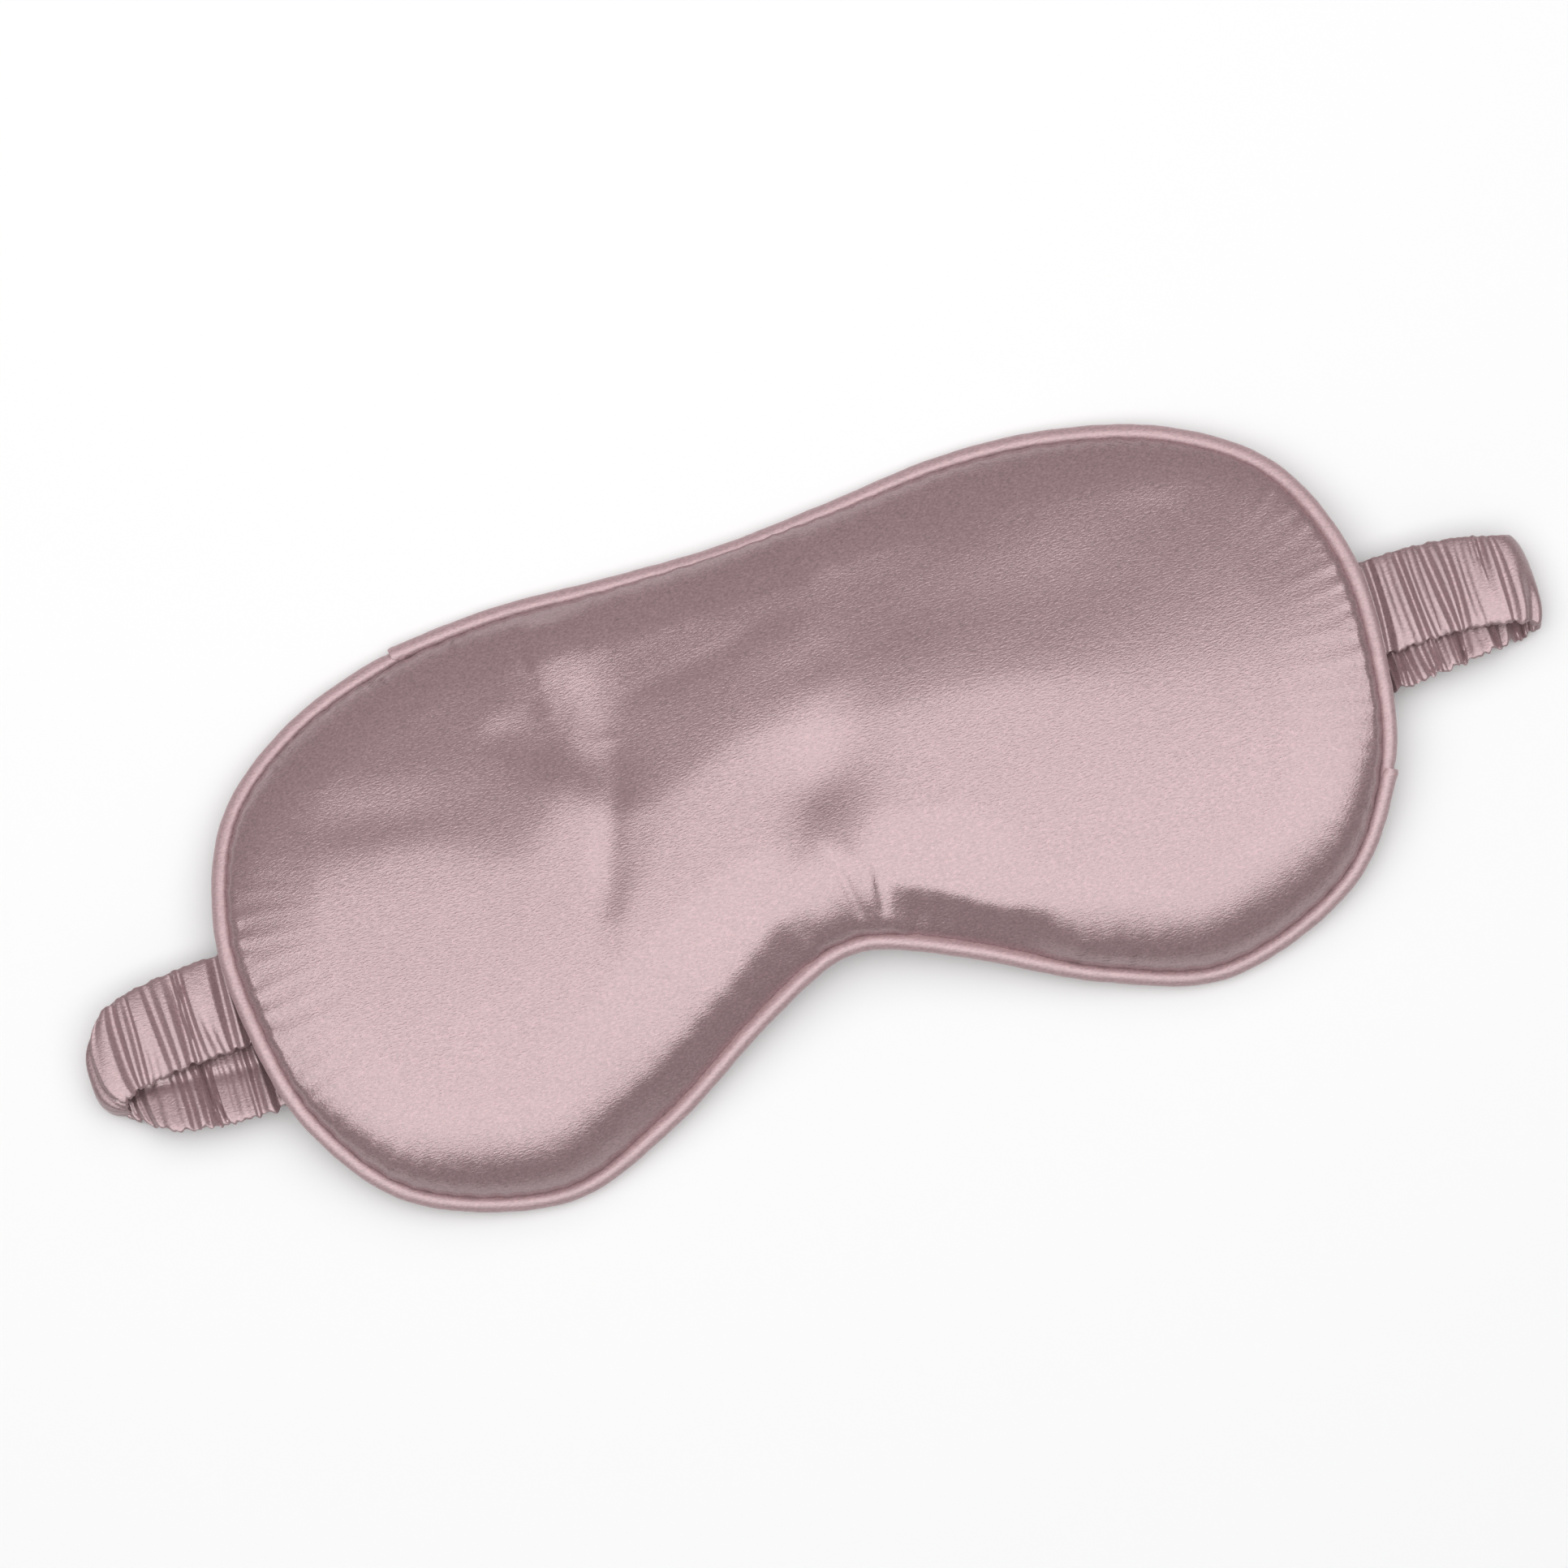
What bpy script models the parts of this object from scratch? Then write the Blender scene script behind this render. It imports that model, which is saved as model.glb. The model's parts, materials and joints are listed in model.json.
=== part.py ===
"""Sleep eye mask: padded satin mask, piped edge, and a gathered strap lying folded behind it.

Metres, +Z up. The mask lies face up: +X runs along its length, +Y towards the brow, and +Z out of
its front. The origin is under the middle of the whole object, on the surface it lies on.
"""

import math

import bmesh
import bpy
import numpy as np
from mathutils import Vector

MM = 0.001

# Right half of the mask's outer edge, from the brow's dip round the side to the nose notch.
HALF_OUTLINE = [
    (0.0, 49.0),
    (20.0, 50.0),
    (42.0, 51.5),
    (62.0, 49.6),
    (81.5, 43.3),
    (97.0, 31.3),
    (104.4, 13.0),
    (104.5, -6.0),
    (99.8, -25.7),
    (86.5, -43.2),
    (61.5, -51.5),
    (40.0, -45.4),
    (20.0, -34.5),
    (7.0, -28.3),
    (0.0, -26.8),
]
EDGE_POINTS = 84

# The mask arches over its strap: its edge is highest at the sides and lies on the table elsewhere.
RIM_HEIGHT = 7.6 * MM
ARCH_DROP = 6.1 * MM
ARCH_FLAT = 6.0 * MM
ARCH_REACH = 50.0 * MM

PIPING_RADIUS = 1.5 * MM
PIPING_CLOTH = 0.35 * MM
PIPING_TAIL = 2.5 * MM
PIPING_TAIL_ANGLE = 160
CORD_RADIUS = 0.85 * MM
BROW_JOIN = (-60.0 * MM, 49.9 * MM)
CHEEK_JOIN = (97.7 * MM, -26.1 * MM)
JOIN_GAP = 0.4 * MM

LAYER_GAP = 0.3 * MM
SEAM_INSET = 2 * PIPING_RADIUS + LAYER_GAP
CLOTH = 0.5 * MM
SEAM_LIFT = 1.45 * MM
CLEARANCE = 0.1 * MM
FRONT_PUFF = 4.9 * MM
BACK_PUFF = 2.4 * MM
PUFF_REACH = 16.0 * MM
WADDING_INSET = 3.0 * MM
BLACKOUT_CLOTH = 0.4 * MM
STITCH_RADIUS = 0.2 * MM
STITCH_INSET = 1.7 * MM
STITCH_LIFT = 1.12 * MM

STRAP_WIDTH = 16.8 * MM
STRAP_THICKNESS = 2.6 * MM
STRAP_AT_SEAM = 2.0 * MM
STRAP_CLOTH = 0.4 * MM
ELASTIC_WIDTH = 12.0 * MM
ELASTIC_THICKNESS = 0.6 * MM
SEGMENT_GAP = 0.4 * MM
ELASTIC_INSET = 0.2 * MM

ARM_Y = 1.0 * MM
ARM_START_X = 104.2 * MM
ARM_START_Z = 4.7 * MM
TURN_X = 129.5 * MM
TURN_RADIUS = 2.5 * MM
CENTRE_X = 16.5 * MM
MIDDLE_GAP = 0.95 * MM
BAND_Z = STRAP_THICKNESS / 2
TURN_Z = BAND_Z + TURN_RADIUS
# Each stretch of the strap swings about an axis along Y, here as (distance out, height). The turn
# unfolds about one axis in each of its quarters.
QUARTER = TURN_RADIUS * math.sqrt(0.5)
PIVOTS = {
    "arm": (103.7 * MM, ARM_START_Z),
    "turn": (TURN_X + QUARTER, TURN_Z + QUARTER),
    "back": (TURN_X + QUARTER, TURN_Z - QUARTER),
    "centre": (CENTRE_X, STRAP_THICKNESS),
}
# The strap lies a little lower, towards the nose, on its way back behind the mask.
BAND_Y = {"left": -11.5 * MM, "right": -5.5 * MM}

STRAP_END_LENGTH = 4.2 * MM
STRAP_END_THICKNESS = 1.0 * MM
STRAP_END_X = 101.1 * MM
TACK_SIZE = (1.5 * MM, 13.0 * MM, 0.5 * MM)
POCKET_Z = 3.3 * MM
POCKET_X = (88.0 * MM, 95.0 * MM)
POCKET_Y = (11.0 * MM, 18.0 * MM)

GRID_COLUMNS = 40
GRID_ROWS = 10

SIDES = {"left": -1, "right": 1}

SATIN = ((0.56, 0.38, 0.40), 0.42, 0.0)
COLOURS = {
    "satin": SATIN,
    "wadding": ((0.86, 0.85, 0.82), 0.9, 0.0),
    "blackout": ((0.03, 0.03, 0.035), 0.8, 0.0),
    "cotton": ((0.80, 0.76, 0.70), 0.85, 0.0),
    "elastic": ((0.78, 0.70, 0.70), 0.7, 0.0),
    "thread": ((0.50, 0.32, 0.34), 0.6, 0.0),
}


def clear_scene():
    for obj in list(bpy.data.objects):
        bpy.data.objects.remove(obj)


def material(name):
    found = bpy.data.materials.get(name)
    if found:
        return found
    colour, roughness, metallic = COLOURS[name]
    made = bpy.data.materials.new(name)
    made.use_nodes = True
    shader = made.node_tree.nodes["Principled BSDF"]
    shader.inputs["Base Color"].default_value = (*colour, 1)
    shader.inputs["Roughness"].default_value = roughness
    shader.inputs["Metallic"].default_value = metallic
    return made


def add_object(name, data, finish):
    obj = bpy.data.objects.new(name, data)
    obj.data.materials.append(material(finish))
    PARTS.objects.link(obj)
    return obj


def add_mesh(name, bm, finish):
    mesh = bpy.data.meshes.new(name)
    bm.to_mesh(mesh)
    bm.free()
    mesh.shade_smooth()
    mesh.set_sharp_from_angle(angle=math.radians(40))
    return add_object(name, mesh, finish)


def solidify(obj, thickness, offset=-1.0):
    wall = obj.modifiers.new("Solidify", "SOLIDIFY")
    wall.thickness = thickness
    wall.offset = offset
    return obj


def smooth_loop(corners, steps=24):
    """A closed Catmull-Rom curve through the corners, as many short steps."""
    count = len(corners)
    points = []
    for i in range(count):
        a, b, c, d = (corners[(i + k - 1) % count] for k in range(4))
        for t in np.arange(steps) / steps:
            points.append(
                0.5
                * (
                    2 * b
                    + (c - a) * t
                    + (2 * a - 5 * b + 4 * c - d) * t**2
                    + (3 * b - a - 3 * c + d) * t**3
                )
            )
    return np.array(points)


def mask_edge():
    """The mask's outer edge, clockwise from the brow's dip."""
    right = np.array(HALF_OUTLINE) * MM
    left = right[-2:0:-1] * (-1, 1)
    return smooth_loop(np.vstack([right, left]))


def inset(loop, distance):
    """The closed loop moved in by a distance, square to itself."""
    along = np.roll(loop, -1, 0) - np.roll(loop, 1, 0)
    along /= np.linalg.norm(along, axis=1)[:, None]
    inward = np.stack([along[:, 1], -along[:, 0]], 1)
    return loop + inward * distance


def evenly_spaced(loop, count):
    closed = np.vstack([loop, loop[:1]])
    length = np.append(0, np.cumsum(np.linalg.norm(np.diff(closed, axis=0), axis=1)))
    at = np.linspace(0, length[-1], count, endpoint=False)
    return np.stack([np.interp(at, length, closed[:, k]) for k in (0, 1)], 1)


def rim(y):
    """Height of the mask's edge seam: an arch over the strap, flat along its ridge."""
    past = np.maximum(np.abs(y) - ARCH_FLAT, 0) / (ARCH_REACH - ARCH_FLAT)
    return RIM_HEIGHT - ARCH_DROP * past**2


def lens(share):
    """Rise of padded cloth from its seam, from 0 to 1, as a quarter of an ellipse."""
    return np.sqrt(1 - (1 - np.clip(share, 0, 1)) ** 2)


def ramp(value, start, end):
    share = np.clip((value - start) / (end - start), 0, 1)
    return share * share * (3 - 2 * share)


def front_height(x, y, d):
    return rim(y) + SEAM_LIFT + FRONT_PUFF * lens(d / PUFF_REACH)


def back_height(x, y, d):
    """Underside of the lining, pressed flat where it would sink below the surface it lies on."""
    return np.maximum(rim(y) - SEAM_LIFT - BACK_PUFF * lens(d / PUFF_REACH), CLEARANCE)


def lining_height(x, y, d):
    """The lining dips at each side to let the strap's end into the seam."""
    height = back_height(x, y, d)
    near_strap = ramp(np.abs(x), *POCKET_X) * (1 - ramp(np.abs(y - ARM_Y), *POCKET_Y))
    return height + (POCKET_Z - height) * near_strap


def blackout_height(x, y, d):
    return back_height(x, y, d) + 1.1 * CLOTH + LAYER_GAP


def wadding_bottom(x, y, d):
    return blackout_height(x, y, d) + 1.1 * BLACKOUT_CLOTH + LAYER_GAP


def wadding_top(x, y, d):
    return front_height(x, y, d) - 1.3 * CLOTH - LAYER_GAP


def seam_distance(x, y):
    """How far each point lies inside the edge seam."""
    seam = inset(mask_edge(), SEAM_INSET)
    gap = np.hypot(x[:, None] - seam[None, :, 0], y[:, None] - seam[None, :, 1])
    return gap.min(axis=1)


def grid_over_mask(edge_inset):
    """A grid whose columns run from the cheek edge up to the brow edge, closed to a point at each end."""
    edge = inset(mask_edge(), edge_inset)
    tip_right, tip_left = edge[:, 0].argmax(), edge[:, 0].argmin()
    loop = np.roll(edge, -tip_right, 0)
    split = (tip_left - tip_right) % len(edge)
    cheek, brow = loop[: split + 1][::-1], loop[split:]
    bm = bmesh.new()
    bmesh.ops.create_grid(
        bm, x_segments=GRID_COLUMNS, y_segments=GRID_ROWS, size=math.pi / 2
    )
    for vert in bm.verts:
        across, up = math.sin(vert.co.x), math.sin(vert.co.y)
        x = across * edge[:, 0].max()
        low = np.interp(x, cheek[:, 0], cheek[:, 1])
        high = np.interp(x, brow[:, 0], brow[:, 1])
        vert.co = (x, (low + high) / 2 + up * (high - low) / 2, 0)
    bmesh.ops.remove_doubles(bm, verts=bm.verts, dist=0.02 * MM)
    return bm


def raise_to(verts, height):
    x, y = np.array([v.co.xy for v in verts]).T
    for vert, z in zip(verts, height(x, y, seam_distance(x, y))):
        vert.co.z = z


def cloth_layer(name, edge_inset, height, thickness, faces_up, finish):
    """A layer of cloth with its outer face at the given height, thickened inwards."""
    bm = grid_over_mask(edge_inset)
    raise_to(list(bm.verts), height)
    if not faces_up:
        bmesh.ops.reverse_faces(bm, faces=bm.faces)
    return solidify(add_mesh(name, bm, finish), thickness)


def wadding_layer(name, edge_inset, bottom, top, finish):
    bm = grid_over_mask(edge_inset)
    low = list(bm.verts)
    raised = bmesh.ops.extrude_face_region(bm, geom=bm.faces[:])
    high = [v for v in raised["geom"] if isinstance(v, bmesh.types.BMVert)]
    raise_to(low, bottom)
    raise_to(high, top)
    bmesh.ops.recalc_face_normals(bm, faces=bm.faces)
    return add_mesh(name, bm, finish)


def swept(name, sections, finish, tube, origin=(0, 0, 0)):
    """A grid bent through equal lists of points, one list for each row, and closed round for a tube."""
    points = len(sections[0])
    columns = points if tube else points - 1
    rows = len(sections) - 1
    bm = bmesh.new()
    bmesh.ops.create_grid(bm, x_segments=columns, y_segments=rows, size=0.5)
    for vert in bm.verts:
        column = round((vert.co.x + 0.5) * columns) % points
        row = round((vert.co.y + 0.5) * rows)
        vert.co = Vector(sections[row][column]) - Vector(origin)
    bmesh.ops.remove_doubles(bm, verts=bm.verts, dist=0.001 * MM)
    obj = add_mesh(name, bm, finish)
    obj.location = origin
    return obj


def edge_stations(count):
    """Points along the piping's centreline with the outward direction at each."""
    edge = mask_edge()
    centre = evenly_spaced(inset(edge, PIPING_RADIUS), count)
    inner = inset(centre, PIPING_RADIUS)
    outward = (centre - inner) / PIPING_RADIUS
    return centre, outward


def piping_profile():
    """The bias strip's section: a tail in the seam, once round the cord, and back along the tail."""
    angles = np.radians(np.linspace(-PIPING_TAIL_ANGLE, PIPING_TAIL_ANGLE, 7))
    loop = [(PIPING_RADIUS * math.cos(a), PIPING_RADIUS * math.sin(a)) for a in angles]
    tail = loop[0][0] - PIPING_TAIL, loop[0][1]
    return [tail, *loop, (tail[0], -tail[1])]


def nearest(points, spot):
    return int(np.hypot(*(points - spot).T).argmin())


def piping_cover(name, first_join, last_join):
    """One length of satin strip round the cord, clockwise from one join to the next."""
    centre, outward = edge_stations(EDGE_POINTS)
    first, last = nearest(centre, first_join), nearest(centre, last_join)
    count = (last - first) % EDGE_POINTS
    stations = [(first + k) % EDGE_POINTS for k in range(count + 1)]
    sections = []
    for order, station in enumerate(stations):
        (x, y), (nx, ny) = centre[station], outward[station]
        if order == count:
            back = centre[stations[order - 1]] - centre[station]
            x, y = (x, y) + back / np.linalg.norm(back) * JOIN_GAP
        z = rim(y)
        sections.append([(x + nx * u, y + ny * u, z + w) for u, w in piping_profile()])
    return solidify(swept(name, sections, "satin", False), PIPING_CLOTH)


def edge_ring(name, seam_inset, lift, radius, bevel_resolution, finish):
    """A round cord or thread all the way along the edge."""
    loop = evenly_spaced(inset(mask_edge(), seam_inset), EDGE_POINTS)
    curve = bpy.data.curves.new(name, "CURVE")
    curve.dimensions = "3D"
    curve.bevel_depth = radius
    curve.bevel_resolution = bevel_resolution
    spline = curve.splines.new("POLY")
    spline.points.add(len(loop) - 1)
    for point, (x, y) in zip(spline.points, loop):
        point.co = (x, y, rim(y) + lift, 1)
    spline.use_cyclic_u = True
    return add_object(name, curve, finish)


def arm_path(side, start, end):
    """Centreline from the mask's side out to the turn. Each point carries the strap's thickness."""
    turn_y = (ARM_Y + BAND_Y[side]) / 2
    path = []
    for share in np.linspace(0, 1, 6):
        x = start + (end - start) * share
        along = (x - ARM_START_X) / (TURN_X - ARM_START_X)
        y = ARM_Y + (turn_y - ARM_Y) * along**2
        z = ARM_START_Z + (TURN_Z + TURN_RADIUS - ARM_START_Z) * along
        thickness = STRAP_AT_SEAM + (STRAP_THICKNESS - STRAP_AT_SEAM) * ramp(along, 0, 0.4)
        path.append((Vector((SIDES[side] * x, y, z)), Vector((0, 0, 1)), thickness))
    return path


def turn_path(side, margin):
    """Half a turn from the arm down to the band behind the mask."""
    turn_y = (ARM_Y + BAND_Y[side]) / 2
    start_y = turn_y
    end_y = (turn_y + BAND_Y[side]) / 2
    edge = margin / TURN_RADIUS
    path = []
    for angle in np.linspace(math.pi / 2 - edge, -math.pi / 2 + edge, 9):
        share = 0.5 - angle / math.pi
        out = Vector((SIDES[side] * math.cos(angle), 0, math.sin(angle)))
        middle = Vector((SIDES[side] * TURN_X, start_y + (end_y - start_y) * share, TURN_Z))
        path.append((middle + out * TURN_RADIUS, out, STRAP_THICKNESS))
    return path


def band_path(side, start, end, points):
    """The strap lying flat behind the mask, from start to end along X."""
    first_y = (3 * BAND_Y[side] + ARM_Y) / 4
    middle_y = (BAND_Y["left"] + BAND_Y["right"]) / 2
    path = []
    for x in np.linspace(start, end, points):
        reach = x / TURN_X
        straight_y = middle_y + (BAND_Y[side] - middle_y) * reach
        y = straight_y + (first_y - BAND_Y[side]) * ramp(reach, 0.75, 1)
        path.append((Vector((SIDES[side] * x, y, BAND_Z)), Vector((0, 0, -1)), STRAP_THICKNESS))
    return path


def strap_profile(width, thickness):
    """Flat tube section with cut corners, as (across, outward) pairs."""
    half, high, corner = width / 2, thickness / 2, 0.8 * MM
    right = [(half - corner, high), (half, high - corner), (half, corner - high), (half - corner, -high)]
    left = [(-a, h) for a, h in reversed(right)]
    return right + left


def pivot_of(stretch, side):
    out, height = PIVOTS[stretch]
    return (SIDES[side] * out, ARM_Y, height)


def sleeve(stretch, path, side):
    """A hollow stretch of the strap's satin tube, open at both ends."""
    sections = []
    for centre, out, thickness in path:
        profile = strap_profile(STRAP_WIDTH, thickness)
        sections.append([centre + Vector((0, a, 0)) + out * h for a, h in profile])
    name = f"strap_sleeve_{stretch}_{side}"
    obj = swept(name, sections, "satin", True, pivot_of(stretch, side))
    outward_faces(obj)
    return solidify(obj, STRAP_CLOTH)


def elastic(stretch, path, side):
    """A stretch of the elastic band inside the sleeve."""
    half = Vector((0, ELASTIC_WIDTH / 2, 0))
    sections = [[centre - half, centre + half] for centre, _, _ in path]
    name = f"elastic_{stretch}_{side}"
    strip = swept(name, sections, "elastic", False, pivot_of(stretch, side))
    return solidify(strip, ELASTIC_THICKNESS, 0)


def outward_faces(obj):
    """Turns an open tube's faces outwards: its volume, measured as if capped, is positive."""
    mesh = obj.data
    middle = sum((v.co for v in mesh.vertices), Vector()) / len(mesh.vertices)
    volume = sum((f.center - middle).dot(f.normal) * f.area for f in mesh.polygons)
    if volume < 0:
        mesh.flip_normals()


def box(name, centre, size, finish):
    bm = bmesh.new()
    bmesh.ops.create_cube(bm, size=1)
    bmesh.ops.scale(bm, vec=size, verts=bm.verts)
    bmesh.ops.bevel(
        bm, geom=bm.edges[:], offset=0.2 * min(size), segments=1, affect="EDGES"
    )
    obj = add_mesh(name, bm, finish)
    obj.location = centre
    return obj


def mask_layers():
    """Front panel, wadding, blackout cloth and lining, from the front to the wearer's face."""
    cloth_layer("front_panel", SEAM_INSET, front_height, CLOTH, True, "satin")
    inner = SEAM_INSET + WADDING_INSET
    wadding_layer("wadding", inner, wadding_bottom, wadding_top, "wadding")
    cloth_layer("blackout_layer", inner, blackout_height, BLACKOUT_CLOTH, False, "blackout")
    cloth_layer("lining", SEAM_INSET, lining_height, CLOTH, False, "satin")


def piped_edge():
    piping_cover("piping_cover_brow", BROW_JOIN, CHEEK_JOIN)
    piping_cover("piping_cover_cheek", CHEEK_JOIN, BROW_JOIN)
    edge_ring("piping_cord", PIPING_RADIUS, 0, CORD_RADIUS, 1, "cotton")
    stitch_inset = SEAM_INSET + STITCH_INSET
    edge_ring("edge_stitching", stitch_inset, STITCH_LIFT, STITCH_RADIUS, 0, "thread")


def strap_end(side):
    """The flattened end sewn between the piping's tail and the lining, with its bar tack."""
    x = SIDES[side] * STRAP_END_X
    size = (STRAP_END_LENGTH, STRAP_WIDTH, STRAP_END_THICKNESS)
    box(f"strap_end_{side}", (x, ARM_Y, ARM_START_Z), size, "satin")
    tack_z = ARM_START_Z + (STRAP_END_THICKNESS + TACK_SIZE[2]) / 2 + LAYER_GAP
    box(f"strap_tack_{side}", (x, ARM_Y, tack_z), TACK_SIZE, "thread")


def strap_side(side):
    """Arm, turn, back and centre of one half of the strap, each a sleeve with elastic in it."""
    gap = SEGMENT_GAP / 2

    def paths(trim):
        return {
            "arm": arm_path(side, ARM_START_X + gap + trim, TURN_X - gap - trim),
            "turn": turn_path(side, gap + trim),
            "back": band_path(side, TURN_X - gap - trim, CENTRE_X + gap + trim, 8),
            "centre": band_path(side, CENTRE_X - gap - trim, MIDDLE_GAP + trim, 3),
        }

    for stretch, path in paths(0).items():
        sleeve(stretch, path, side)
    for stretch, path in paths(ELASTIC_INSET).items():
        elastic(stretch, path, side)


clear_scene()
PARTS = bpy.data.collections.new("sleep_eye_mask")
bpy.context.scene.collection.children.link(PARTS)
mask_layers()
piped_edge()
for side_name in SIDES:
    strap_end(side_name)
    strap_side(side_name)
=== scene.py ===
import json
import math

import bpy
import numpy as np
from mathutils import Matrix, Vector


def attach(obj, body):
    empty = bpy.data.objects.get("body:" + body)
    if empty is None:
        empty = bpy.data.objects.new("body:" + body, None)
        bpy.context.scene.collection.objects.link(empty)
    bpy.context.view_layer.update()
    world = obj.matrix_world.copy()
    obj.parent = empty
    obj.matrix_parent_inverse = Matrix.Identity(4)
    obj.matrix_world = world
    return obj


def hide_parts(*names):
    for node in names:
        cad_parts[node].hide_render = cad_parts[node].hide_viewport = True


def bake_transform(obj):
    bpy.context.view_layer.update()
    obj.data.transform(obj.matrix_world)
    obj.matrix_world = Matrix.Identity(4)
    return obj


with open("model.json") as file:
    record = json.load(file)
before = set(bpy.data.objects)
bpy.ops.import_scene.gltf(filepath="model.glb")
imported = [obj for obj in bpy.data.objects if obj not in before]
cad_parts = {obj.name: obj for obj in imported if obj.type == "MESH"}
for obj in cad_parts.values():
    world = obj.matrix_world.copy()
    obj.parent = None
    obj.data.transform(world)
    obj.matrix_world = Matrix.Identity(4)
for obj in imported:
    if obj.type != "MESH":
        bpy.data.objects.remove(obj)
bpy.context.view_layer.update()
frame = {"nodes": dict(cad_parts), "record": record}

# Sleep eye mask: satin front and lining, piped edge, and gathered strap, built round the CAD frame.
# Lengths in this script are in millimetres, in the frame's axes, and become metres in add_mesh.

MM = 0.001
SIDES = {"left": -1, "right": 1}

# Right half of the mask's outer edge, from the brow's dip round the side to the nose notch.
HALF_OUTLINE = [
    (0.0, 49.0),
    (20.0, 50.0),
    (42.0, 51.5),
    (62.0, 49.6),
    (81.5, 43.3),
    (97.0, 31.3),
    (104.4, 13.0),
    (104.5, -6.0),
    (99.8, -25.7),
    (86.5, -43.2),
    (61.5, -51.5),
    (40.0, -45.4),
    (20.0, -34.5),
    (7.0, -28.3),
    (0.0, -26.8),
]

# The mask's rim arches: high at the sides of the head, and lower towards the brow and the cheeks.
RIM_HEIGHT = 7.6
ARCH_DROP = 6.1
ARCH_FLAT = 6.0
ARCH_REACH = 50.0

PIPING_RADIUS = 1.5
BROW_JOIN = (-60.0, 49.9)
CHEEK_JOIN = (97.7, -26.1)

# The seam beside the piping, and the padded front that rises from it.
SEAM_INSET = 2.4
SEAM_WOBBLE = 0.2
BROW_ROLL = 1.1
FRONT_SEAM_LIFT = 0.1
FRONT_PUFF = 6.3
PUFF_REACH = 17.0
ARCH_IN_FRONT = 0.3
CROWN_SLOPE = 0.125
CROWN_SOFTNESS = 2.2
FRONT_THINNEST = 0.3

# The lining below, and the blackout cloth that lies on it.
LINING_SEAM_DROP = 0.9
LINING_PUFF = 2.9
LINING_REACH = 16.0
LINING_CLOTH = 0.5
CLEARANCE = 0.1
BLACKOUT_ABOVE_LINING = 1.6

# The strap: a flat tube that leaves the mask, turns back, and lies on the table behind it.
STRAP_WIDTH = 16.8
STRAP_THICKNESS = 2.6
STRAP_AT_SEAM = 2.0
ARM_Y = 1.0
ARM_START_X = 104.2
ARM_START_Z = 4.7
TURN_X = 129.5
TURN_RADIUS = 2.5
BAND_Z = STRAP_THICKNESS / 2
TURN_Z = BAND_Z + TURN_RADIUS
POCKET_Z = 3.3


# ---------------------------------------------------------------- shapes in plan

def smooth_loop(corners, steps=24):
    """A closed Catmull-Rom curve through the corners, as many short steps."""
    count = len(corners)
    points = []
    for i in range(count):
        a, b, c, d = (corners[(i + k - 1) % count] for k in range(4))
        for t in np.arange(steps) / steps:
            points.append(
                0.5
                * (
                    2 * b
                    + (c - a) * t
                    + (2 * a - 5 * b + 4 * c - d) * t**2
                    + (3 * b - a - 3 * c + d) * t**3
                )
            )
    return np.array(points)


def mask_edge():
    """The mask's outer edge in plan, both halves."""
    right = np.array(HALF_OUTLINE)
    left = right[-2:0:-1] * (-1, 1)
    return smooth_loop(np.vstack([right, left]))


def inset(loop, distance):
    """The closed loop moved inwards by distance."""
    along = np.roll(loop, -1, 0) - np.roll(loop, 1, 0)
    along /= np.linalg.norm(along, axis=1)[:, None]
    return loop + np.stack([along[:, 1], -along[:, 0]], 1) * distance


def evenly_spaced(loop, count):
    """Points at equal steps round a closed loop."""
    closed = np.vstack([loop, loop[:1]])
    length = np.append(0, np.cumsum(np.linalg.norm(np.diff(closed, axis=0), axis=1)))
    at = np.linspace(0, length[-1], count, endpoint=False)
    return np.stack([np.interp(at, length, closed[:, k]) for k in (0, 1)], 1)


def rim(y):
    """Height of the middle of the piping above the table."""
    past = np.maximum(np.abs(y) - ARCH_FLAT, 0) / (ARCH_REACH - ARCH_FLAT)
    return RIM_HEIGHT - ARCH_DROP * past**2


def lens(share):
    """A quarter circle's rise: steep at 0 and level at 1."""
    return np.sqrt(1 - (1 - np.clip(share, 0, 1)) ** 2)


def ramp(value, start, end):
    """0 up to start, 1 from end on, and smooth between."""
    share = np.clip((value - start) / (end - start), 0, 1)
    return share * share * (3 - 2 * share)


def distance_to(loop, x, y):
    """How far each point is from a closed loop."""
    ends = np.roll(loop, -1, 0) - loop
    best = np.full(x.shape, np.inf)
    for (ax, ay), (dx, dy) in zip(loop, ends):
        t = np.clip(((x - ax) * dx + (y - ay) * dy) / (dx * dx + dy * dy), 0, 1)
        best = np.minimum(best, np.hypot(x - ax - t * dx, y - ay - t * dy))
    return best


def blob(x, y, centre, size, angle=0.0):
    """A soft bump of height 1, as wide as size along and across its own direction in degrees."""
    turn = math.radians(angle)
    dx, dy = x - centre[0], y - centre[1]
    along = dx * math.cos(turn) + dy * math.sin(turn)
    across = dy * math.cos(turn) - dx * math.sin(turn)
    return np.exp(-((along / size[0]) ** 2) - (across / size[1]) ** 2)


def fold(x, y, path, width):
    """A soft ridge of height 1 along a path of points, fading out at both its ends."""
    path = np.array(path, float)
    step = np.linalg.norm(np.diff(path, axis=0), axis=1)
    total = step.sum()
    best = np.full(x.shape, np.inf)
    where = np.zeros(x.shape)
    before = 0.0
    for (ax, ay), (bx, by), length in zip(path[:-1], path[1:], step):
        dx, dy = bx - ax, by - ay
        t = np.clip(((x - ax) * dx + (y - ay) * dy) / length**2, 0, 1)
        gap = np.hypot(x - ax - t * dx, y - ay - t * dy)
        nearer = gap < best
        best = np.where(nearer, gap, best)
        where = np.where(nearer, (before + t * length) / total, where)
        before += length
    fade = np.sin(math.pi * np.clip(where, 0.02, 0.98)) ** 0.6
    return np.exp(-((best / width) ** 2)) * fade


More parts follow.
